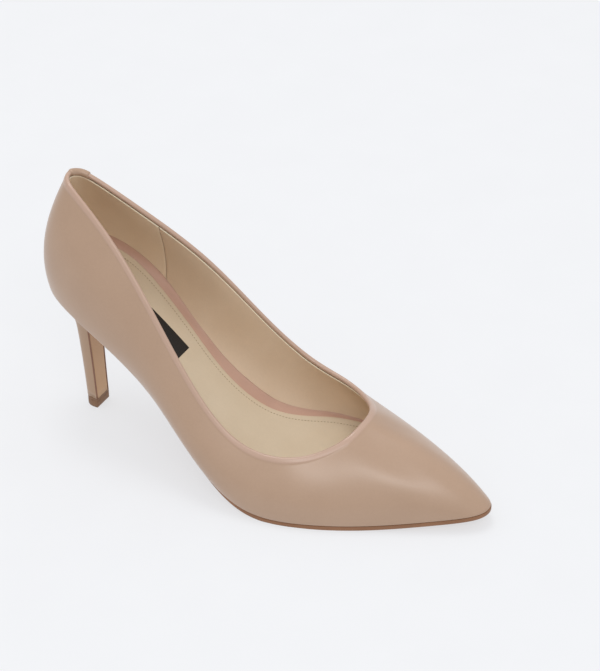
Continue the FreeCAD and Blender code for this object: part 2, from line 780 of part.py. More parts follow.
seat = side_strip("heel_seat", level(-GLUE), level(60), BEHIND, 120)
pin = round_bar("top_piece_pin_body", "dims.pin_diameter", "dims.pin_length + dims.tip_height - 2.2")
pin.Placement = lean(2.2)
tube = round_bar("dowel_body", "dims.dowel_outer", "dims.dowel_length", "dims.dowel_bore")
tube.Placement = lean(6.0)
tube_hole = round_bar("dowel_hole", "dims.dowel_outer + 2 * dims.glue", "dims.dowel_length + 2")
tube_hole.Placement = lean(5.0)
doc.recompute()


def raw_piece(name, shape):
    piece = doc.addObject("Part::Feature", name)
    piece.Shape = shape
    return piece


wrap = raw_piece("heel_wrap", heel_wrap())
core = raw_piece("heel_blank", heel_body())
breast = raw_piece("heel_front", breast_face())
finish("heel_cover", cut("heel_cover", wrap, seat).Shape)
finish("heel_core", cut("heel_core", core, seat, tube_hole, heel_screw, nails).Shape)
finish("heel_breast_cover", cut("heel_breast_cover", breast, seat).Shape)
finish("heel_dowel", tube.Shape)
finish("top_piece", cut("top_piece", top_piece_body(), pin).Shape)
finish("top_piece_pin", pin.Shape)

# ---------------------------------------------------------------- checks and export
doc.recompute()
for item in doc.Objects:
    if "Invalid" in item.State or "Error" in item.State:
        raise RuntimeError("feature failed: " + item.Name)
for name, piece in exported.items():
    shape = piece.Shape
    if shape.isNull() or not shape.isValid() or shape.Volume <= 0 or not shape.Solids:
        raise RuntimeError("bad shape: " + name)
    shape = shape.copy()
    shape.translate(V(-dim("centre_x"), -dim("centre_y"), 0))
    shape.exportStep("parts/%s.step" % name)
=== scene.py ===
import math

import bpy
import numpy as np
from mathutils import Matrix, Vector


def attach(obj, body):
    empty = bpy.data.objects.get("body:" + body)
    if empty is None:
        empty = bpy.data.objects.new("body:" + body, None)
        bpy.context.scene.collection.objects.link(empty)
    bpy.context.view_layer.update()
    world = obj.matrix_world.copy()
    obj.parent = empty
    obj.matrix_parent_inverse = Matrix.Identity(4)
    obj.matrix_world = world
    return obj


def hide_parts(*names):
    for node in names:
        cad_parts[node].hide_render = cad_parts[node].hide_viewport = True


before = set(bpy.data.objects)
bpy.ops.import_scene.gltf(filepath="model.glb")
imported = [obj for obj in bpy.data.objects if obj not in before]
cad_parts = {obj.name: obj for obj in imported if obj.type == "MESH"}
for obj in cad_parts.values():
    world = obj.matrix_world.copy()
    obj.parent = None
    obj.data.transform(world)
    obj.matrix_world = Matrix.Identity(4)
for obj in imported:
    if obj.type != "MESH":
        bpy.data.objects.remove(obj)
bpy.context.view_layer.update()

# A right-foot high heel pump. Everything is worked out in millimetres in the shoe's own frame
# (x from heel to toe, -y the outer side, z up) and moved to the CAD frame, in metres, by add_mesh.
# CENTRE is the place of the CAD frame's origin in the shoe's own frame.
CENTRE = np.array([122.1, -1.3, 0.0])
MM = 0.001

# ---------------------------------------------------------------- the shape of the upper
# Stations round the shoe, as in the CAD: bottom edge x, y, z; topline x, y, z; fullness low and high.
BACK = (8.5, 0.0, 72.7, 16.9, 1.2, 131.0, 9.5, 6.0)
OUTER_SIDE = [
    (12.0, -13.5, 72.2, 19.4, -4.2, 130.2, 9.8, 6.4),
    (26.0, -22.5, 68.7, 28.0, -8.5, 126.2, 9.5, 5.0),
    (48.0, -27.0, 59.7, 51.0, -14.0, 108.7, 10.0, 5.5),
    (76.0, -29.0, 40.7, 78.0, -22.5, 80.7, 11.0, 5.0),
    (105.0, -37.2, 17.6, 103.5, -29.5, 51.7, 11.0, 4.5),
    (134.5, -43.4, 3.6, 126.5, -32.5, 34.2, 7.8, 3.5),
    (164.0, -38.0, 2.0, 147.0, -30.0, 30.7, 7.0, 2.8),
    (191.0, -25.8, 2.9, 161.0, -21.0, 32.2, 7.0, 3.8),
    (216.0, -12.7, 5.8, 170.2, -10.5, 36.6, 7.0, 5.2),
    (233.5, -2.0, 8.2, 172.9, -1.5, 39.0, 7.2, 5.2),
]
TOE = (238.4, 6.8, 8.9, 173.2, 3.2, 39.4, 8.0, 5.2)
INNER_SIDE = [
    (12.0, 13.5, 72.2, 19.4, 6.4, 129.8, 9.8, 6.6),
    (26.0, 22.5, 68.7, 28.0, 9.0, 126.0, 9.5, 5.5),
    (48.0, 24.0, 59.7, 51.0, 15.5, 110.4, 10.0, 5.0),
    (76.0, 18.5, 40.7, 78.0, 25.5, 86.7, 12.5, 5.0),
    (106.0, 17.5, 17.2, 103.5, 33.0, 58.7, 12.0, 4.5),
    (137.0, 32.5, 3.0, 127.0, 37.0, 39.2, 8.5, 4.0),
    (164.0, 38.0, 2.0, 147.0, 36.0, 33.0, 7.5, 4.0),
    (191.0, 31.5, 2.9, 161.0, 28.5, 32.5, 9.5, 6.5),
    (216.0, 23.0, 5.8, 169.8, 17.0, 36.5, 9.5, 7.0),
    (233.5, 14.8, 8.2, 172.8, 8.0, 39.0, 8.5, 6.0),
]
STATIONS = np.array([BACK] + OUTER_SIDE + [TOE] + INNER_SIDE[::-1])
COUNT = len(STATIONS)
TOE_STATION = 1 + len(OUTER_SIDE)
ROUND = 440  # steps round the shoe


def unit(vectors):
    """The vectors, scaled to length 1."""
    return vectors / np.linalg.norm(vectors, axis=-1, keepdims=True)


def ease(x, start, end):
    """0 before start, 1 after end, smooth between."""
    t = np.clip((x - start) / (end - start), 0.0, 1.0)
    return t * t * (3 - 2 * t)


def spline_poles(points):
    """Poles of the closed uniform cubic spline through the points."""
    count = len(points)
    middle = np.eye(count) * 4
    matrix = (middle + np.roll(np.eye(count), 1, 0) + np.roll(np.eye(count), -1, 0)) / 6
    return np.linalg.solve(matrix, points)


def spline_at(poles, u):
    """Points of the closed spline at u, counted in poles."""
    whole = np.floor(u).astype(int)
    t = (u - whole)[..., None]
    a, b, c, d = (poles[(whole + k) % len(poles)] for k in (-1, 0, 1, 2))
    inner = (3 * t ** 3 - 6 * t ** 2 + 4) * b + (-3 * t ** 3 + 3 * t ** 2 + 3 * t + 1) * c
    return ((1 - t) ** 3 * a + inner + t ** 3 * d) / 6


def wall_poles():
    """Poles of the four splines that control the wall: its foot, low and high fullness, and its top."""
    feet, tops = STATIONS[:, 0:3], STATIONS[:, 3:6]
    middle = feet * 0.6 + tops * 0.4
    along = np.roll(middle, -1, 0) - np.roll(middle, 1, 0)
    rise = unit(tops - feet)
    out = unit(np.stack([along[:, 1], -along[:, 0], along[:, 0] * 0], 1))
    out = unit(out - rise * (out * rise).sum(1)[:, None])
    step = (tops - feet) / 3
    low = feet + step + out * STATIONS[:, 6:7]
    high = feet + step * 2 + out * STATIONS[:, 7:8]
    return [spline_poles(row) for row in (feet, low, high, tops)]


WALL_POLES = wall_poles()


def bezier(a, b, c, d, t):
    """Point at t of the cubic curve with the control points a, b, c and d."""
    return a * (1 - t) ** 3 + 3 * b * t * (1 - t) ** 2 + 3 * c * t * t * (1 - t) + d * t ** 3


def outside(u, v):
    """Outside of the upper: u counts stations from the back seam, v goes from 0 to 1 upwards."""
    u, v = np.broadcast_arrays(np.asarray(u, float), np.asarray(v, float))
    feet, low, high, tops = (spline_at(poles, u) for poles in WALL_POLES)
    return bezier(feet, low, high, tops, v[..., None])


def wall(u, v, depth):
    """Point of the upper wall, a depth in from its outside."""
    step = 1e-3
    along = outside(u + step, v) - outside(u - step, v)
    rise = outside(u, v + step) - outside(u, v - step)
    normal = unit(np.cross(along, rise))
    return outside(u, v) - normal * np.asarray(depth, float)[..., None]


def wall_speed(u, v):
    """Millimetres of wall per unit of v."""
    step = 0.005
    return np.linalg.norm(outside(u, v + step) - outside(u, v - step), axis=-1) / (2 * step)


def below_top(u, down):
    """v of the place down millimetres below the topline."""
    return 1 - down / wall_speed(u, np.ones_like(u))


def above_foot(u, up):
    """v of the place up millimetres above the bottom edge."""
    return up / wall_speed(u, np.zeros_like(u))


# ---------------------------------------------------------------- the bottom of the shoe
STEPS_PER_STATION = 24
EDGE = outside(np.linspace(0, TOE_STATION, TOE_STATION * STEPS_PER_STATION + 1), 0)
EDGE_X, EDGE_Z = np.maximum.accumulate(EDGE[:, 0]), EDGE[:, 2]
MARGIN, MARGIN_LOSS = 12.0, 8.8
# Height of the footbed over the bottom edge at the toe, and what the shank and the heel pad add.
FOOTBED, SHANK_RISE, SEAT_PAD = 4.05, 1.55, 5.1
# How far the sock curls up at its edge, at the heel and at the ball, and how wide the curl is.
HEEL_CUP, BALL_CUP, CUP_WIDTH = 3.4, 3.2, 10
# Inset of the sock's edge, and how much less it is at the waist and at the ball.
SOCK_EDGE, SOCK_WAIST, SOCK_BALL = 3.1, 0.9, 2.6
SOCK_TOE_BACK = 6.0


def bottom_height(x):
    """Height of the bottom edge, taken from the outer side."""
    return np.interp(x, EDGE_X, EDGE_Z)


def margin_at(x):
    """Width of the upper turned in under the shoe, less towards the toe."""
    return MARGIN - MARGIN_LOSS * ease(x, 180, 236)


def board_rise(x):
    """How much the shank lifts the footbed behind the ball of the foot."""
    return SHANK_RISE * (1 - ease(x, 100, 136))


def seat_share(x):
    """1 under the heel of the foot, where the footbed is padded and cupped, 0 in front of it."""
    return 1 - ease(x, 20, 90)


def sock_height(x):
    """Top of the sock over the bottom edge."""
    return FOOTBED + board_rise(x) + SEAT_PAD * seat_share(x)


def ball_share(u, x):
    """1 along the inner side of the ball of the foot, where the sock curls up against the lining."""
    return np.where(u > TOE_STATION, ease(x, 112, 145) * (1 - ease(x, 185, 212)), 0.0)


def sock_cup(u, x, inset):
    """How far the sock curls up near its edge, round the heel and beside the ball of the foot."""
    lift = HEEL_CUP * (1 - ease(x, 20, 68)) + BALL_CUP * ball_share(u, x)
    return lift * np.clip(1 - inset / CUP_WIDTH, 0, 1) ** 2


def inward(u):
    """Level direction from the bottom edge towards the middle of the shoe."""
    step = 0.05
    a, b = outside(u - step, 0), outside(u + step, 0)
    return unit(np.stack([a[..., 1] - b[..., 1], b[..., 0] - a[..., 0], a[..., 0] * 0], -1))


def outline(u, inset, lift, toe_back=0.0):
    """Point of the bottom, an inset in from the bottom edge and a lift above it.

    The lift is a number or a function of x, and toe_back draws the line back at the toe.
    """
    edge = outside(u, 0)
    point = edge + inward(u) * np.broadcast_to(inset, u.shape)[..., None]
    point[..., 0] -= toe_back * ease(edge[..., 0], 196, 238)
    lift = lift(point[..., 0]) if callable(lift) else lift
    point[..., 2] = bottom_height(point[..., 0]) + lift
    return point


def sock_inset(u, extra):
    """Inset of the sock's edge: closer to the wall along the waist and beside the ball of the foot."""
    x = outside(u, 0)[:, 0]
    waist = ease(x, 45, 75) * (1 - ease(x, 90, 125))
    return SOCK_EDGE + extra - SOCK_WAIST * waist - SOCK_BALL * ball_share(u, x)


def sock_line(u, extra, drop=0.0):
    """Closed line at an extra inset from the sock's edge, a drop above its surface."""
    def lift(x):
        return sock_height(x) + sock_cup(u, x, extra) + drop
    return outline(u, sock_inset(u, extra), lift, SOCK_TOE_BACK)


# ---------------------------------------------------------------- mesh builders
def add_mesh(name, points, faces, material, replaces):
    """Makes a piece from points in millimetres, rides it on the shoe and hides the CAD pieces it stands
    for.
    """
    mesh = bpy.data.meshes.new(name)
    mesh.from_pydata(((np.asarray(points) - CENTRE) * MM).tolist(), [], faces)
    mesh.update()
    mesh.validate()
    mesh.polygons.foreach_set("use_smooth", [True] * len(mesh.polygons))
    mesh.materials.append(material)
    piece = bpy.data.objects.new(name, mesh)
    bpy.context.scene.collection.objects.link(piece)
    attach(piece, "root")
    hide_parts(*replaces)
    return piece


def grid_faces(rows, columns, close_rows=False, close_columns=False, start=0):
    """Faces of a grid whose points run column by column along each row."""
    faces = []
    for i in range(rows if close_rows else rows - 1):
        a, b = start + i * columns, start + (i + 1) % rows * columns
        for k in range(columns if close_columns else columns - 1):
            after = (k + 1) % columns
            faces.append([a + k, b + k, b + after, a + after])
    return faces


def ring_mesh(name, sections, material, replaces):
    """Closed band: sections[i, k] is point k of the closed cross-section at step i round the shoe."""
    steps, size = sections.shape[:2]
    faces = grid_faces(steps, size, True, True)
    return add_mesh(name, sections.reshape(-1, 3), faces, material, replaces)


def strip_mesh(name, sections, material, replaces):
    """Band with two ends. The first half of each section faces the second half, point against point."""
    steps, size = sections.shape[:2]
    faces = grid_faces(steps, size, False, True)
    for first, flip in ((0, False), ((steps - 1) * size, True)):
        for k in range(size // 2 - 1):
            quad = [first + k, first + k + 1, first + size - 2 - k, first + size - 1 - k]
            faces.append(quad if flip else quad[::-1])
    return add_mesh(name, sections.reshape(-1, 3), faces, material, replaces)


def cap_faces(start, count, columns, first_free, flip):
    """Lid over a closed ring of count points: rungs between point i and its opposite, columns wide."""
    half = count // 2

    def rung(i):
        ends = [start + i, start + count - 1 - i]
        if 0 < i < half - 1:
            free = first_free + (i - 1) * (columns - 1)
            return [ends[0]] + list(range(free, free + columns - 1)) + [ends[1]]
        return ends
    faces = []
    for i in range(half - 1):
        a, b = rung(i), rung(i + 1)
        if len(a) == len(b):
            faces += [[a[k], a[k + 1], b[k + 1], b[k]] for k in range(len(a) - 1)]
        else:
            faces.append(a + b[::-1])
    return [face[::-1] for face in faces] if flip else faces


def plate_mesh(name, rings, settle_top, settle_bottom, material, replaces, columns):
    """Plate from closed rings, top ring first, in which points i and -1 - i are opposite.

    Each lid is columns wide, and a settle function sets the height of its inner points.
    """
    count = len(rings[0])
    points = [point for ring in rings for point in ring]
    faces = grid_faces(len(rings), count, False, True)
    lids = ((rings[0], 0, settle_top, True), (rings[-1], len(rings) - 1, settle_bottom, False))
    for ring, at, settle, flip in lids:
        first_free = len(points)
        for i in range(1, count // 2 - 1):
            for k in range(1, columns):
                share = k / columns
                points.append(settle(ring[i] * (1 - share) + ring[count - 1 - i] * share))
        faces += cap_faces(at * count, count, columns, first_free, flip)
    return add_mesh(name, points, faces, material, replaces)


def along_curve(points, pitch):
    """Evenly spaced places on a closed curve, with their directions."""
    look_ahead = 0.5
    closed = np.concatenate([points, points[:1]])
    lengths = np.concatenate([[0], np.cumsum(np.linalg.norm(np.diff(closed, axis=0), axis=1))])
    count = int(lengths[-1] / pitch)
    at = np.linspace(0, lengths[-1], count, endpoint=False)

    def place_at(length):
        return np.stack([np.interp(length, lengths, closed[:, k]) for k in range(3)], 1)
    places = place_at(at)
    return places, unit(place_at((at + look_ahead) % lengths[-1]) - places)


def stitches_mesh(name, places, directions, ups, size, material, replaces):
    """One rounded stitch at each place: size is its length, width and height."""
    length, width, height = size
    profile = [(-0.5, 0.15), (-0.38, 0.75), (-0.15, 1.0), (0.15, 1.0), (0.38, 0.75), (0.5, 0.15)]
    around = 8
    points, faces = [], []
    for place, direction, up in zip(places, directions, ups):
        side = unit(np.cross(up, direction))
        start = len(points)
        for along, swell in profile:
            for k in range(around):
                angle = math.tau * k / around
                across = side * math.cos(angle) * width / 2 + up * math.sin(angle) * height / 2
                points.append(place + direction * along * length + across * swell)
        faces += grid_faces(len(profile), around, False, True, start)
        faces.append([start + k for k in range(around)][::-1])
        last = start + (len(profile) - 1) * around
        faces.append([last + k for k in range(around)])
    return add_mesh(name, points, faces, material, replaces)


# ---------------------------------------------------------------- materials
def new_material(name):
    """New material with its node tree and its shader."""
    material = bpy.data.materials.new(name)
    material.use_nodes = True
    nodes = material.node_tree.nodes
    return material, material.node_tree, nodes["Principled BSDF"]


def node(tree, kind, inputs=(), **settings):
    """New node with its properties set from settings and its sockets from inputs."""
    made = tree.nodes.new(kind)
    for key, value in settings.items():
        setattr(made, key, value)
    for key, value in dict(inputs).items():
        made.inputs[key].default_value = value
    return made


def linear(red, green, blue):
    """Display colour, 0 to 255, as a linear colour for a node."""
    def channel(value):
        value = value / 255
        return value / 12.92 if value <= 0.04045 else ((value + 0.055) / 1.055) ** 2.4
    return (channel(red), channel(green), channel(blue), 1.0)


def noise(tree, scale, detail=3.0, roughness=0.5, stretch=None):
    """Noise in object space; scale counts features per metre."""
    coordinates = tree.nodes.new("ShaderNodeTexCoord")
    source = coordinates.outputs["Object"]
    if stretch:
        mapping = node(tree, "ShaderNodeMapping", {"Scale": stretch})
        tree.links.new(source, mapping.inputs["Vector"])
        source = mapping.outputs["Vector"]
    made = node(tree, "ShaderNodeTexNoise", {"Scale": scale, "Detail": detail, "Roughness": roughness})
    tree.links.new(source, made.inputs["Vector"])
    return made


def cells(tree, scale):
    """Distance to the edges of small cells; scale counts cells per metre."""
    coordinates = tree.nodes.new("ShaderNodeTexCoord")
    made = node(tree, "ShaderNodeTexVoronoi", {"Scale": scale}, feature="DISTANCE_TO_EDGE")
    tree.links.new(coordinates.outputs["Object"], made.inputs["Vector"])
    return made


def ramp(tree, source, stops):
    """Colour ramp over a value; stops are pairs of a position and a colour."""
    made = tree.nodes.new("ShaderNodeValToRGB")
    ends = made.color_ramp.elements
    for index, (position, colour) in enumerate(stops):
        element = ends[index] if index < 2 else ends.new(position)
        element.position = position
        element.color = colour
    tree.links.new(source, made.inputs["Fac"])
    return made.outputs["Color"]


def spread(tree, source, low, high, from_low=0.3, from_high=0.7):
    """Maps a noise value to the range low..high."""
    made = node(tree, "ShaderNodeMapRange",
                {"From Min": from_low, "From Max": from_high, "To Min": low, "To Max": high})
    tree.links.new(source, made.inputs["Value"])
    return made.outputs["Result"]


# Sockets of a colour Mix node; it has others of the same names for numbers and vectors.
MIX_FACTOR, MIX_FIRST, MIX_SECOND, MIX_RESULT = 0, 6, 7, 2


def mixed(tree, kind, share, first, second):
    """Mixes two colours; each value is a socket or a constant."""
    made = node(tree, "ShaderNodeMix", data_type="RGBA", blend_type=kind)
    for index, value in ((MIX_FACTOR, share), (MIX_FIRST, first), (MIX_SECOND, second)):
        if isinstance(value, bpy.types.NodeSocket):
            tree.links.new(value, made.inputs[index])
        else:
            made.inputs[index].default_value = value
    return made.outputs[MIX_RESULT]


def bumps(tree, surface, layers):
    """Chains bump layers (height socket, strength, distance in metres) into the surface's normal."""
    normal = None
    for height, strength, distance in layers:
        made = node(tree, "ShaderNodeBump", {"Strength": strength, "Distance": distance})
        tree.links.new(height, made.inputs["Height"])
        if normal:
            tree.links.new(normal, made.inputs["Normal"])
        normal = made.outputs["Normal"]
    tree.links.new(normal, surface.inputs["Normal"])


# Features per metre of leather, and the roughness of its coat. The colours given to the next three
# functions are display colours, 0 to 255.
CLOUDS, FINE_GRAIN, PORES = 45.0, 900.0, 1500.0
COAT_ROUGHNESS = 0.28


def leather(name, colour, deep, roughness, grain, coat=0.0, specular=0.45, fold_colour=None):
    """Smooth leather with soft tone changes, pores and grain; fold_colour, if given, is a lighter, pinker
    colour mixed in where the point attribute fold marks the folded edge.
    """
    material, tree, surface = new_material(name)
    clouds = noise(tree, CLOUDS, 4.0)
    fine = noise(tree, FINE_GRAIN, 4.0, 0.6)
    pores = cells(tree, PORES)
    tone = ramp(tree, clouds.outputs["Fac"], [(0.36, linear(*deep)), (0.66, linear(*colour))])
    # Lighter, pinker colour over the folded edge of the topline, where the attribute fold marks it.
    if fold_colour:
        fold = node(tree, "ShaderNodeAttribute", attribute_name="fold")
        tone = mixed(tree, "MIX", fold.outputs["Fac"], tone, linear(*fold_colour))
    speck = spread(tree, fine.outputs["Fac"], 0.98, 1.015)
    grey = node(tree, "ShaderNodeCombineColor")
    for channel in ("Red", "Green", "Blue"):
        tree.links.new(speck, grey.inputs[channel])
    tree.links.new(mixed(tree, "MULTIPLY", 1.0, tone, grey.outputs["Color"]), surface.inputs["Base Color"])
    gloss = spread(tree, fine.outputs["Fac"], roughness - 0.04, roughness + 0.05)
    tree.links.new(gloss, surface.inputs["Roughness"])
    surface.inputs["Specular IOR Level"].default_value = specular
    surface.inputs["Coat Weight"].default_value = coat
    surface.inputs["Coat Roughness"].default_value = COAT_ROUGHNESS
    bumps(tree, surface, [
        (clouds.outputs["Fac"], 0.12 * grain, 0.0012),
        (fine.outputs["Fac"], 0.10 * grain, 0.00012),
        (pores.outputs["Distance"], 0.16 * grain, 0.00010),
    ])
    return material


def woven(name, colour, dark, scale, roughness=0.75):
    """Cloth or thread: crossed waves."""
    material, tree, surface = new_material(name)
    coordinates = tree.nodes.new("ShaderNodeTexCoord")
    waves = []
    for direction in ("X", "Y"):
        inputs = {"Scale": scale, "Distortion": 0.4}
        wave = node(tree, "ShaderNodeTexWave", inputs, bands_direction=direction)
        tree.links.new(coordinates.outputs["Object"], wave.inputs["Vector"])
        waves.append(wave.outputs["Fac"])
    both = node(tree, "ShaderNodeMath", operation="MULTIPLY")
    for index, wave in enumerate(waves):
        tree.links.new(wave, both.inputs[index])
    tone = ramp(tree, both.outputs["Value"], [(0.05, linear(*dark)), (0.7, linear(*colour))])
    tree.links.new(tone, surface.inputs["Base Color"])
    surface.inputs["Roughness"].default_value = roughness
    surface.inputs["Specular IOR Level"].default_value = 0.3
    bumps(tree, surface, [(both.outputs["Value"], 0.35, 0.0001)])
    return material


def speckled(name, colour, dark, scale, roughness, metal=0.0, stretch=None, strength=0.2):
    """Board, rubber, plastic, foam or brushed metal, told apart by scale and stretch."""
    material, tree, surface = new_material(name)
    grain = noise(tree, scale, 5.0, 0.6, stretch)
    tone = ramp(tree, grain.outputs["Fac"], [(0.32, linear(*dark)), (0.68, linear(*colour))])
    tree.links.new(tone, surface.inputs["Base Color"])
    gloss = spread(tree, grain.outputs["Fac"], roughness - 0.06, roughness + 0.06)
    tree.links.new(gloss, surface.inputs["Roughness"])
    surface.inputs["Metallic"].default_value = metal
    bumps(tree, surface, [(grain.outputs["Fac"], strength, 0.00015)])
    return material


# The upper turns lighter and pinker over its folded topline edge.
UPPER = leather("upper_leather", (181, 151, 127), (178, 148, 124), 0.33, 0.2, coat=0.35,
                fold_colour=(190, 159, 139))
HEEL_LINING = leather("heel_lining_leather", (228, 206, 178), (224, 201, 172), 0.5, 0.6, specular=0.4)
LINING = leather("lining_leather", (218, 194, 166), (213, 188, 159), 0.5, 0.6, specular=0.4)
SOCK = leather("sock_leather", (214, 197, 171), (210, 192, 165), 0.55, 0.6, specular=0.35)
RIM = leather("rim_leather", (200, 163, 144), (195, 157, 138), 0.5, 0.6)
RAW_EDGE = leather("raw_edge", (246, 232, 206), (240, 224, 196), 0.7, 0.8, specular=0.3)
SOLE = leather("sole_leather", (152, 108, 76), (140, 98, 68), 0.45, 1.0)
HEEL = leather("heel_cover_leather", (176, 145, 118), (173, 142, 115), 0.36, 0.25, coat=0.15)
BREAST = leather("breast_leather", (206, 168, 130), (200, 162, 124), 0.5, 0.4)
EDGE_INK = leather("edge_ink", (150, 108, 84), (138, 98, 76), 0.5, 0.4)
TOP_PIECE = speckled("top_piece_rubber", (140, 104, 76), (122, 90, 64), 700.0, 0.5)
THREAD = woven("thread", (214, 194, 162), (150, 128, 100), 4000.0)
DARK_THREAD = woven("dark_thread", (176, 144, 120), (150, 120, 98), 4000.0)
LABEL = woven("label_fabric", (48, 45, 42), (30, 28, 26), 1600.0, 0.6)

# ---------------------------------------------------------------- upper
# The topline is folded in over a rounded bead: the fold's reach in depth, and the ridge it raises outside.
BEAD, FOLD_DEPTH, RIDGE = 1.05, 1.95, 0.28
WALL = 1.0
SEAM_GROOVE = 0.35
# Where the turned-in margin starts, inside and outside, in from the bottom edge.
TURN_INSIDE, TURN_OUTSIDE = 1.6, 1.2
# Heights over the bottom edge and distances below the topline of the rows of points.
FOOT_STEPS = (1.4, 2.4, 3.4, 4.6, 6.0)
TOP_STEPS = (6.2, 5.2, 4.2, 3.8, 3.5, 3.2, 3.0, 2.8, 2.5, 2.0, 1.5, BEAD)
# How far down from the topline and how deep the folded edge lies inside, from the bead to the bare wall.
FOLD_INSIDE = [(BEAD, FOLD_DEPTH), (1.5, 1.97), (2.0, 1.95), (2.3, 1.86), (2.45, 1.68), (2.5, 1.45),
               (2.6, 1.32), (3.4, 1.30), (3.6, WALL), (5.0, WALL)]
U_ROUND = np.sort(np.concatenate([
    np.arange(ROUND) * COUNT / ROUND,
    COUNT - np.array([0.006, 0.012, 0.02, 0.03]),
    np.array([0.006, 0.012, 0.02, 0.03]),
]))


def fold_share(down):
    """1 over the folded edge, 0 below it."""
    return 1 - ease(down, 2.4, 3.9)


def ridge_at(down):
    """Slight swelling over the folded edge."""
    return RIDGE * fold_share(down)


def seam_dip(u, v):
    """Groove of the centre back seam, below the tab."""
    away = np.abs((u + COUNT / 2) % COUNT - COUNT / 2)
    return SEAM_GROOVE * (1 - ease(away, 0.004, 0.022)) * (1 - ease(v, 0.80, 0.83))


def upper_sections():
    """Closed sections of the upper and, for each point of a section, its share in the folded edge."""
    u = U_ROUND
    rows = []
    for up in FOOT_STEPS:
        rows.append((above_foot(u, up), 0 * u, 0.0))
    low, high = above_foot(u, FOOT_STEPS[-1]), below_top(u, TOP_STEPS[0])
    for share in np.linspace(0, 1, 42)[1:-1]:
        rows.append((low + (high - low) * share, 0 * u, 0.0))
    for down in TOP_STEPS:
        rows.append((below_top(u, down), 0 * u - ridge_at(down), fold_share(down)))
    radius = (FOLD_DEPTH + RIDGE) / 2
    for angle in np.linspace(0, math.pi, 11)[1:-1]:
        down = BEAD * (1 - math.sin(angle))
        depth = radius * (1 - math.cos(angle)) - RIDGE
        rows.append((below_top(u, down), 0 * u + depth, 1.0))
    for down, depth in FOLD_INSIDE:
        rows.append((below_top(u, down), 0 * u + depth, 0.3))
    low, high = above_foot(u, FOOT_STEPS[0]), below_top(u, FOLD_INSIDE[-1][0])
    for share in np.linspace(1, 0, 14)[1:]:
        rows.append((low + (high - low) * share, 0 * u + WALL, 0.0))
    v_rows, depth_rows = (np.stack(part, 1) for part in list(zip(*rows))[:2])
    depth_rows = depth_rows + seam_dip(u[:, None], v_rows) * (depth_rows < 0.5)
    points = wall(np.repeat(u[:, None], v_rows.shape[1], 1), v_rows, depth_rows)
    margin = margin_at(outside(u, 0)[:, 0])
    under = []
    for share in (0, 0.3, 0.6, 0.97):
        under.append(outline(u, TURN_INSIDE + (margin - TURN_INSIDE) * share, WALL))
    under += [outline(u, margin, 0.8 * WALL), outline(u, margin, 0.2 * WALL)]
    for share in (0.97, 0.6, 0.3, 0.1, 0):
        under.append(outline(u, TURN_OUTSIDE + (margin - TURN_OUTSIDE) * share, 0.0))
    corner, start, end = outside(u, 0), outline(u, TURN_OUTSIDE, 0.0), points[:, 0]
    for t in (0.2, 0.4, 0.6, 0.8):
        under.append(start * (1 - t) ** 2 + corner * 2 * t * (1 - t) + end * t * t)
    on_fold = [row[2] for row in rows] + [0.0] * len(under)
    return np.concatenate([points, np.stack(under, 1)], 1), on_fold


def make_upper():
    """The upper, with its share in the folded edge kept as a point attribute for the material."""
    sections, on_fold = upper_sections()
    piece = ring_mesh("upper", sections, UPPER, ("upper_leather",))
    marks = piece.data.attributes.new("fold", "FLOAT", "POINT")
    marks.data.foreach_set("value", np.tile(on_fold, len(sections)))


# ---------------------------------------------------------------- back tab
TAB_REACH = 1.70  # stations forward of the back seam
TAB_STATION = 9.5  # millimetres per station there
TAB_THICKNESS, TAB_GAP, TAB_SUNK, TAB_ROUNDING = 0.62, 0.02, 0.35, 0.55


def tab_edge(forward):
    """Lower edge of the tab, as v, against stations forward of the back seam."""
    return 0.80 + 0.10 * ease(forward, 0.2, 1.1) + 0.05 * ease(forward, 1.1, 1.7)


def make_back_tab():
    """The outer quarter's tab lapped round the back onto the inner quarter."""
    ends = np.array([0.0, 0.01, 0.025, 0.05, 0.08])
    forward = np.concatenate([TAB_REACH - ends, np.linspace(1.6, 0.1, 36), [0.05, 0.0]])
    u = COUNT - forward
    low = tab_edge(forward)
    rise = wall_speed(u, low)
    front = np.clip((TAB_REACH - forward) * TAB_STATION, 0, 10)
    body = TAB_THICKNESS * ease(forward, 0.0, 0.30)
    from_edge = (0.0, 0.06, 0.16, 0.32, 0.55, 0.9, 1.5)
    well_inside = 3.0
    rows = [(low + away / rise, away) for away in from_edge]
    last, high = from_edge[-1] / rise, below_top(u, 2.6)
    for share in np.linspace(0.12, 1, 12):
        rows.append((low + last + (high - low - last) * share, well_inside))
    for down in (1.9, 1.4):
        rows.append((below_top(u, down), well_inside))

    def thickness(away):
        reach = np.clip(np.minimum(front, away) / TAB_ROUNDING, 0, 1)
        return body * np.sqrt(np.clip(1 - (1 - reach) ** 2, 0, 1))
    outer = [(v, -(ridge_at((1 - v) * rise) + TAB_GAP + thickness(away))) for v, away in rows]
    radius = (FOLD_DEPTH + RIDGE) / 2
    grow = thickness(well_inside)
    turns = np.linspace(0.25, math.pi, 10)
    over = []
    for angle in turns:
        down = BEAD - (BEAD + grow) * math.sin(angle)
        depth = FOLD_DEPTH / 2 - RIDGE / 2 - (radius + TAB_GAP + grow) * math.cos(angle)
        over.append((below_top(u, down), depth))
    for down, away in ((1.6, 0.9), (2.2, 0.1)):
        over.append((below_top(u, down), FOLD_DEPTH + TAB_GAP + thickness(away)))
    front_rows = outer + over
    back_rows = [(v, np.where(d > 0.9, FOLD_DEPTH - TAB_SUNK, TAB_SUNK) + 0 * u) for v, d in front_rows]
    # Where the tab turns over the topline, its back lies inside the bead.
    bead_middle = (below_top(u, 1.0), 0.9 + 0 * u)
    back_rows[len(outer):len(outer) + len(turns)] = [bead_middle] * len(turns)
    sections = [wall(u, v, depth) for v, depth in front_rows + back_rows[::-1]]
    strip_mesh("back_tab", np.stack(sections, 1), UPPER, ("back_tab",))


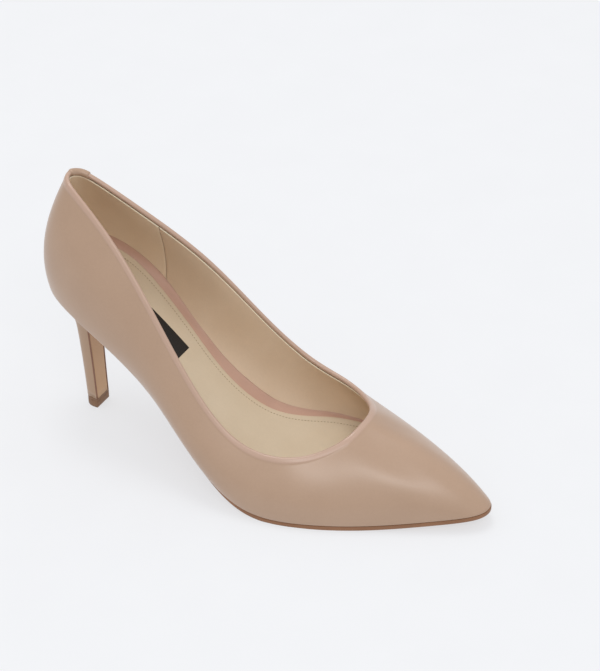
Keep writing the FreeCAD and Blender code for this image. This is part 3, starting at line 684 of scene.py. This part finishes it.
# ---------------------------------------------------------------- linings
LINING_TOP = 2.35  # below the topline
LINING_FOOT = 0.045  # v of its lower edge
LINING_OUT, LINING_IN = 2.0, 2.6  # depths of its hidden and its shown side
SEAM_OUTER, SEAM_INNER = 3.2, COUNT - 3.2
# Millimetres per station at the seams, how far a lining dips there, and half the gap, in stations.
SEAM_STATION, SEAM_FALL, SEAM_GAP = 14.0, 0.22, 0.004


def lining_sections(u):
    """Closed section of a lining: up its hidden side, over the cut edge and down inside."""
    foot, top = LINING_FOOT + 0 * u, below_top(u, LINING_TOP)
    around = u % COUNT
    seam = np.minimum(np.abs(around - SEAM_OUTER), np.abs(around - SEAM_INNER)) * SEAM_STATION
    inner = LINING_IN - SEAM_FALL * (1 - ease(seam, 0.0, 0.5))
    shares = np.concatenate([np.linspace(0, 0.9, 34), [0.94, 0.965, 0.985, 0.995]])
    hidden = [(foot + (top - foot) * share, LINING_OUT + 0 * u) for share in shares]
    shown = [(foot + (top - foot) * share, inner) for share in shares]
    edge = [(top, LINING_OUT + 0.06 + 0 * u), (top, inner - 0.08)]
    rows = hidden + edge + shown[::-1]
    return np.stack([wall(u, v, depth) for v, depth in rows], 1)


def seam_steps(start, end, count):
    """Steps from start to end, closer together at both ends."""
    fine = np.array([0.0, 0.006, 0.015, 0.03, 0.05])
    wide = 0.08
    return np.concatenate([start + fine, np.linspace(start + wide, end - wide, count), end - fine[::-1]])


def make_linings():
    """Two linings that meet at the seams. Their cut edge at the topline is paler."""
    vamp = lining_sections(seam_steps(SEAM_OUTER + SEAM_GAP, SEAM_INNER - SEAM_GAP, 260))
    quarter = lining_sections(seam_steps(SEAM_INNER + SEAM_GAP, COUNT + SEAM_OUTER - SEAM_GAP, 150))
    for name, sections, skin in (("vamp_lining", vamp, LINING), ("quarter_lining", quarter, HEEL_LINING)):
        piece = strip_mesh(name + "_skin", sections, skin, (name,))
        piece.data.materials.append(RAW_EDGE)
        size = sections.shape[1]
        half = size // 2
        for face in piece.data.polygons:
            spots = [vertex % size for vertex in face.vertices]
            if min(spots) >= half - 2 and max(spots) <= half + 1:
                face.material_index = 1


# ---------------------------------------------------------------- footbed
SOCK_STITCH = 2.85  # inset of the stitches from the sock's edge
SOCK_TOP, SOCK_BOTTOM = 0.10, -0.68
# Extra inset and drop of the sock's section, from its top round the rolled edge to its underside.
SOCK_SECTION = [
    (8.0, SOCK_TOP), (5.5, SOCK_TOP), (4.2, 0.08), (3.5, 0.07), (3.15, 0.03), (SOCK_STITCH, -0.02),
    (2.55, 0.03), (2.1, 0.03), (1.3, 0.02), (0.7, -0.06), (0.35, -0.18), (0.1, -0.34), (0.0, -0.5),
    (0.05, SOCK_BOTTOM),
]


def mid_steps(count):
    """Even steps round the shoe that keep clear of the back and the toe, in opposite pairs."""
    return (np.arange(count) + 0.5) * COUNT / count


def make_sock():
    """Thin sock over the whole footbed, rolled down at its edge."""
    u = mid_steps(260)
    rings = [sock_line(u, extra, drop) for extra, drop in SOCK_SECTION]

    def settle(drop):
        def move(point):
            point[2] = bottom_height(point[0]) + sock_height(point[0]) + drop
            return point
        return move
    top, bottom = settle(SOCK_TOP), settle(SOCK_BOTTOM)
    plate_mesh("sock", rings, top, bottom, SOCK, ("sock_lining",), 16)


def make_sock_stitches():
    """Row of stitches a little in from the sock's edge."""
    pitch, size = 1.6, (1.0, 0.42, 0.3)
    places, directions = along_curve(sock_line(mid_steps(400), SOCK_STITCH), pitch)
    ups = unit(np.cross(directions, np.cross(np.array([0, 0, 1.0]), directions)))
    stitches_mesh("sock_stitches", places, directions, ups, size, THREAD, ("sock_stitching",))


RIM_DEPTH = 2.66  # just inside the lining


def make_rim():
    """Leather strip that coves from the sock's edge up to the lining."""
    u = np.arange(ROUND) * COUNT / ROUND
    levels = np.linspace(0.0, 0.6, 61)
    around, up = np.meshgrid(u, levels, indexing="ij")
    inner_wall = wall(around, up, np.full(around.shape, RIM_DEPTH))
    x = inner_wall[..., 0]
    sock_edge_height = sock_height(x) + sock_cup(around, x, 0)
    over = inner_wall[..., 2] - bottom_height(x) - sock_edge_height
    rise = 0.25 + 0.6 * (1 - ease(x, 95, 140)) + 2.8 * (1 - ease(x, 46, 74))
    contact = np.array([np.interp(0.0, row, levels) for row in over - rise])

    def at_wall(lower):
        return wall(u, contact - lower / wall_speed(u, contact), RIM_DEPTH + 0 * u)
    top, sock_edge = at_wall(0.0), sock_line(u, 0.15, -0.42)
    reach = np.linalg.norm(sock_edge - top, axis=1)[:, None]
    tangent = top + (at_wall(1.0) - top) * reach * 0.35
    before = sock_edge + unit(top - sock_edge) * reach * 0.3
    before[:, 2] = np.minimum(before[:, 2], sock_edge[:, 2] + 0.1 * reach[:, 0])
    shown = [bezier(top, tangent, before, sock_edge, t) for t in np.linspace(0, 1, 12)]
    down = np.array([0, 0, 0.7])
    under_sock = [sock_line(u, 2.0, -0.76), sock_line(u, 2.0, -1.1), sock_edge - down]
    hidden = [(before + tangent) / 2 - down, (tangent + top) / 2 - down, top - down * 0.4]
    sections = np.stack(shown + under_sock + hidden, 1)
    ring_mesh("rim", sections, RIM, ("footbed_rim",))


# x of the label's end towards the toe, its length and width, and y of its middle.
LABEL_TOE_END, LABEL_LENGTH, LABEL_WIDTH, LABEL_MIDDLE = 77.0, 31.0, 12.5, 0.05


def make_label():
    """Plain woven label that follows the sock."""
    xs = np.linspace(LABEL_TOE_END - LABEL_LENGTH, LABEL_TOE_END, 40)
    low, high = LABEL_MIDDLE - LABEL_WIDTH / 2, LABEL_MIDDLE + LABEL_WIDTH / 2
    across = [(low, 0.10), (low + 0.03, 0.26), (low + 0.2, 0.33)]
    across += [(high - 0.2, 0.33), (high - 0.03, 0.26), (high, 0.10)]
    sections = []
    for x in xs:
        end = min(x - xs[0], xs[-1] - x)
        fall = 0.07 * (1 - min(end / 0.8, 1.0))
        base = bottom_height(x) + sock_height(x)
        top = [(x, y, base + rise - fall) for y, rise in across]
        sections.append(top + [(x, y, base + 0.04) for y, rise in across[::-1]])
    strip_mesh("label", np.array(sections), LABEL, ("sock_label",))


# ---------------------------------------------------------------- outsole
SOLE_START = 44.2  # x of its rear end
SOLE_INSET = 4.0  # at its rear end
SOLE_GAP = 0.05  # between the upper and the sole or heel
# Extra inset, share of the thickness and rise of the sole's section, from its top to its underside.
SOLE_SECTION = [
    (1.2, 0.0, 0.0), (0.35, 0.0, 0.0), (0.1, 0.0, -0.1), (0.0, 0.0, -0.3), (0.0, 0.5, 0.0),
    (0.0, 1.0, 0.55), (0.07, 1.0, 0.28), (0.25, 1.0, 0.1), (0.5, 1.0, 0.02), (1.2, 1.0, 0.0),
]


def sole_thickness(x):
    """Thinner at the waist than at the ball and toe."""
    return 1.5 + 0.9 * ease(x, 80, 130)


def make_outsole():
    """Thin leather sole from the heel breast to the toe, flat where it stands on the floor."""
    outer, inner = np.linspace(2, 4, 200), np.linspace(18, 20, 200)
    first = np.interp(SOLE_START, outline(outer, SOLE_INSET, 0)[:, 0], outer)
    last = np.interp(-SOLE_START, -outline(inner, SOLE_INSET, 0)[:, 0], inner)
    u = np.linspace(first, last, 300)
    edge_x = outside(u, 0)[:, 0]
    inset = SOLE_INSET - 3.0 * ease(edge_x, 45, 75) - 0.8 * ease(edge_x, 110, 150)

    def ring(extra, share, rise):
        points = outline(u, inset + extra, 0.0)
        thickness = sole_thickness(points[:, 0])
        points[:, 2] = np.maximum(points[:, 2] - SOLE_GAP - (thickness - SOLE_GAP) * share + rise, 0.0)
        return points

    def settle(share):
        def move(point):
            drop = SOLE_GAP + (sole_thickness(point[0]) - SOLE_GAP) * share
            point[2] = max(bottom_height(point[0]) - drop, 0.0)
            return point
        return move
    rings = [ring(*row) for row in SOLE_SECTION]
    plate_mesh("sole", rings, settle(0.0), settle(1.0), SOLE, ("outsole",), 20)


# ---------------------------------------------------------------- heel
# Control sections of the heel, from the top piece up: height, front face x, half width, depth.
HEEL_SECTIONS = np.array([
    (5.45, 29.3, 5.4, 7.9),
    (18.0, 28.7, 5.5, 8.1),
    (32.0, 28.0, 5.9, 8.6),
    (43.0, 27.4, 6.3, 9.0),
    (50.0, 27.2, 6.7, 9.8),
    (54.5, 29.5, 9.0, 14.0),
    (58.0, 36.5, 14.0, 22.5),
    (62.5, 46.5, 19.5, 33.0),
    (70.0, 50.0, 24.4, 40.6),
    (80.0, 51.0, 25.6, 42.6),
])
# Share of the depth behind the front face and share of the half width, round the back of the heel.
BACK_CURVE = [(0.0, -1.0), (0.42, -1.0), (0.90, -0.82), (1.05, 0.0), (0.90, 0.82), (0.42, 1.0), (0.0, 1.0)]
COVER = 0.8  # thickness of the leather on the heel


def clamped_weights(count, t):
    """Cubic spline weights of count poles at t from 0 to 1, with the curve's ends on its end poles."""
    inner = count - 4
    knots = np.concatenate([[0] * 3, np.arange(inner + 2), [inner + 1] * 3]).astype(float)
    t = np.clip(t, 0, 1 - 1e-9) * (inner + 1)
    weights = np.array([(knots[i] <= t) & (t < knots[i + 1]) for i in range(len(knots) - 1)], float)
    for degree in (1, 2, 3):
        raised = []
        for i in range(len(knots) - 1 - degree):
            left, right = knots[i + degree] - knots[i], knots[i + degree + 1] - knots[i + 1]
            value = (t - knots[i]) / left * weights[i] if left else 0 * t
            value = value + ((knots[i + degree + 1] - t) / right * weights[i + 1] if right else 0)
            raised.append(value)
        weights = np.array(raised)
    return weights.T


def heel_surface(across, columns):
    """Points over control columns, cut off under the heel seat."""
    rows, fine = 64, np.linspace(0, 1, 400)
    lines = np.einsum("ac,ckd->akd", across, columns)
    up = np.einsum("fk,akd->afd", clamped_weights(len(HEEL_SECTIONS), fine), lines)
    clear = up[..., 2] - bottom_height(up[..., 0]) + SOLE_GAP
    ends = np.array([fine[np.argmax(row > 0)] for row in clear])
    steps = ends[:, None] * np.linspace(0, 1, rows)[None, :]
    weights = clamped_weights(len(HEEL_SECTIONS), steps.ravel()).reshape(len(ends), rows, -1)
    return np.einsum("ark,akd->ard", weights, lines)


def heel_columns(inset):
    """Control columns round the back and sides of the heel, an inset in from its outside."""
    z, front, half, depth = HEEL_SECTIONS.T
    columns = []
    for back, side in BACK_CURVE:
        columns.append(np.stack([front - back * (depth - inset), side * (half - inset), z], 1))
    return np.array(columns)


def make_heel_cover():
    """Leather wrapped round the back and sides, its edges turned at the front corners."""
    steps = np.concatenate([[0, 0.004, 0.01], np.linspace(0.02, 0.98, 70), [0.99, 0.996, 1.0]])
    weights = clamped_weights(len(BACK_CURVE), steps)
    shell = heel_surface(weights, heel_columns(0.0))
    lining = heel_surface(weights, heel_columns(COVER))
    round_off = 0.35 * (1 - ease(np.minimum(steps, 1 - steps), 0.0, 0.012))
    shell = shell + (lining - shell) * round_off[:, None, None]
    sections = np.concatenate([shell, lining[:, ::-1]], 1)
    piece = strip_mesh("heel_cover_skin", sections, HEEL, ("heel_cover",))
    piece.data.materials.append(EDGE_INK)
    size = sections.shape[1]
    for face in piece.data.polygons:
        columns = [vertex // size for vertex in face.vertices]
        if max(columns) <= 2 or min(columns) >= len(steps) - 3:
            face.material_index = 1


def make_heel_breast():
    """Strip on the flat front of the heel, its edges tucked against the cover."""
    z, front, half, _ = HEEL_SECTIONS.T
    half = half - COVER - 0.05
    shares = np.array([-1, -0.985, -0.95, -0.88, -0.7, -0.4, 0, 0.4, 0.7, 0.88, 0.95, 0.985, 1.0])
    drop = np.array([0.42, 0.26, 0.14, 0.07, 0.05, 0.04, 0.04, 0.04, 0.05, 0.07, 0.14, 0.26, 0.42])
    faces = []
    for back in (drop, drop * 0 + COVER):
        columns = [np.stack([front - at, share * half, z], 1) for share, at in zip(shares, back)]
        faces.append(heel_surface(np.eye(len(shares)), np.array(columns)))
    sections = np.concatenate([faces[0], faces[1][:, ::-1]], 1)
    strip_mesh("heel_breast", sections, BREAST, ("heel_breast_cover",))


# Inset and height of the top piece's section, from its top to its underside.
TOP_PIECE_SECTION = [
    (0.5, 5.42), (0.2, 5.4), (0.05, 5.3), (0.0, 5.1), (0.0, 4.5), (0.08, 4.42),
    (0.08, 4.3), (0.0, 4.22), (0.0, 0.5), (0.05, 0.25), (0.18, 0.06), (0.45, 0.0),
]


def make_top_piece():
    """Straight front and sides, round back, softened edges."""
    _, front, half, depth = HEEL_SECTIONS[0]
    corner = 0.35
    middle = front - (depth - half)

    def ring(inset, height):
        side, nose = half - inset, front - inset - corner
        pairs = []
        for angle in np.linspace(math.pi / 2, 0, 26):
            across = math.pi / 2 - angle
            pairs.append((middle - side * math.cos(across), -side * math.sin(across)))
        for x in np.linspace(middle + 0.4, nose, 5):
            pairs.append((x, -side))
        for angle in np.linspace(0, math.pi / 2, 6)[1:]:
            pairs.append((nose + corner * math.sin(angle), -side + corner * (1 - math.cos(angle))))
        outer = [(x, y, height) for x, y in pairs[1:]]
        return np.array(outer + [(x, -y, z) for x, y, z in outer[::-1]])

    def settle(point):
        return point
    rings = [ring(inset, height) for inset, height in TOP_PIECE_SECTION]
    plate_mesh("top_piece_lift", rings, settle, settle, TOP_PIECE, ("top_piece",), 8)


# ---------------------------------------------------------------- topline stitching
def make_topline_stitches():
    """Row of stitches in the groove under the folded edge, inside the upper."""
    down, depth = 2.28, 1.80
    pitch, size = 2.6, (2.0, 0.34, 0.3)
    u = np.arange(900) * COUNT / 900
    line = wall(u, below_top(u, down), depth + 0 * u)
    beyond = wall(u, below_top(u, down), LINING_IN + 0 * u)
    places, directions = along_curve(line, pitch)
    ups = []
    for place in places:
        nearest = np.argmin(((line - place) ** 2).sum(1))
        ups.append(unit(beyond[nearest] - line[nearest]))
    stitches_mesh("topline_stitches", places, directions, ups, size, DARK_THREAD,
                  ("topline_stitching",))


make_upper()
make_back_tab()
make_linings()
make_sock()
make_sock_stitches()
make_rim()
make_label()
make_outsole()
make_heel_cover()
make_heel_breast()
make_top_piece()
make_topline_stitches()

# ---------------------------------------------------------------- hidden CAD pieces
STEEL = speckled("steel", (186, 186, 188), (158, 158, 160), 260.0, 0.35, 1.0, (1, 14, 14))
BOARD = speckled("fibreboard", (176, 148, 116), (142, 112, 82), 1600.0, 0.85)
STIFFENER = speckled("stiffener", (214, 206, 188), (192, 182, 160), 900.0, 0.7)
TAPE = woven("textile", (222, 214, 196), (176, 166, 146), 1300.0)
CORK = speckled("cork_filler", (172, 134, 92), (118, 84, 54), 900.0, 0.9, strength=0.5)
FOAM = speckled("foam", (232, 226, 208), (204, 196, 172), 1900.0, 0.9, strength=0.5)
PLASTIC = speckled("heel_plastic", (206, 192, 170), (190, 174, 150), 300.0, 0.45, strength=0.05)
INSIDE = {
    STEEL: ("steel_shank", "shank_rivets", "heel_dowel", "heel_screw", "heel_nails", "top_piece_pin"),
    BOARD: ("shank_board", "insole_board"),
    STIFFENER: ("toe_puff", "heel_counter"),
    TAPE: ("topline_tape", "back_seam_tape", "interlining"),
    CORK: ("bottom_filler",),
    FOAM: ("footbed_foam",),
    PLASTIC: ("heel_core",),
}
for material, names in INSIDE.items():
    for name in names:
        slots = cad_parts[name].data.materials
        slots.clear()
        slots.append(material)

# ---------------------------------------------------------------- floor, light and camera
FLOOR_SIZE = 6.0
FLOOR_GLOW = 0.69


def make_floor():
    """Pale floor that glows a little, so that the shadow on it is faint."""
    material, tree, surface = new_material("floor")
    grain = noise(tree, 30.0)
    tone = ramp(tree, grain.outputs["Fac"], [(0.3, linear(138, 139, 141)), (0.7, linear(140, 141, 143))])
    tree.links.new(tone, surface.inputs["Base Color"])
    surface.inputs["Emission Color"].default_value = linear(243, 244, 246)
    surface.inputs["Emission Strength"].default_value = FLOOR_GLOW
    surface.inputs["Roughness"].default_value = 0.9
    surface.inputs["Specular IOR Level"].default_value = 0.1
    half = FLOOR_SIZE / 2
    mesh = bpy.data.meshes.new("floor")
    corners = [(-half, -half, 0), (half, -half, 0), (half, half, 0), (-half, half, 0)]
    mesh.from_pydata(corners, [], [(0, 1, 2, 3)])
    mesh.materials.append(material)
    floor = bpy.data.objects.new("floor", mesh)
    bpy.context.scene.collection.objects.link(floor)


def add_light(name, place, size, power, target):
    """Rectangular area light at a place, turned to its target."""
    light = bpy.data.lights.new(name, "AREA")
    light.shape = "RECTANGLE"
    light.size, light.size_y = size
    light.energy = power
    lamp = bpy.data.objects.new(name, light)
    lamp.location = place
    lamp.rotation_euler = (Vector(target) - Vector(place)).to_track_quat("-Z", "Y").to_euler()
    bpy.context.scene.collection.objects.link(lamp)


def make_world():
    """White tent: bright overhead, dimmer towards the horizon."""
    world = bpy.data.worlds.new("studio")
    world.use_nodes = True
    tree = world.node_tree
    coordinates = tree.nodes.new("ShaderNodeTexCoord")
    split = tree.nodes.new("ShaderNodeSeparateXYZ")
    tree.links.new(coordinates.outputs["Generated"], split.inputs["Vector"])
    background = tree.nodes["Background"]
    background.inputs["Color"].default_value = linear(250, 250, 252)
    tree.links.new(spread(tree, split.outputs["Z"], 0.55, 0.95, 0.0, 1.0), background.inputs["Strength"])
    bpy.context.scene.world = world


AZIMUTH, ELEVATION = math.radians(28.6), math.radians(35.3)
DISTANCE, LENS = 1.0857, 120.3
TARGET = Vector((-0.0009, 0.0383, 0.0492))


def make_camera():
    """Camera at the photograph's viewing angle; azimuth counts from the outer side towards the toe."""
    data = bpy.data.cameras.new("camera")
    data.lens = LENS
    data.sensor_width = 36.0
    data.clip_start = 0.05
    camera = bpy.data.objects.new("camera", data)
    level = math.cos(ELEVATION)
    back = Vector((math.sin(AZIMUTH) * level, -math.cos(AZIMUTH) * level, math.sin(ELEVATION)))
    camera.location = TARGET + back * DISTANCE
    camera.rotation_euler = (-back).to_track_quat("-Z", "Y").to_euler()
    bpy.context.scene.collection.objects.link(camera)
    bpy.context.scene.camera = camera


make_floor()
make_world()
add_light("key", (-0.35, 0.3, 1.9), (0.5, 0.8), 8, (0, 0, 0.05))
add_light("strip", (0.78, -1.1, 1.54), (1.0, 0.28), 6, (0.08, 0, 0.02))
make_camera()
bpy.context.scene.view_settings.view_transform = "Standard"
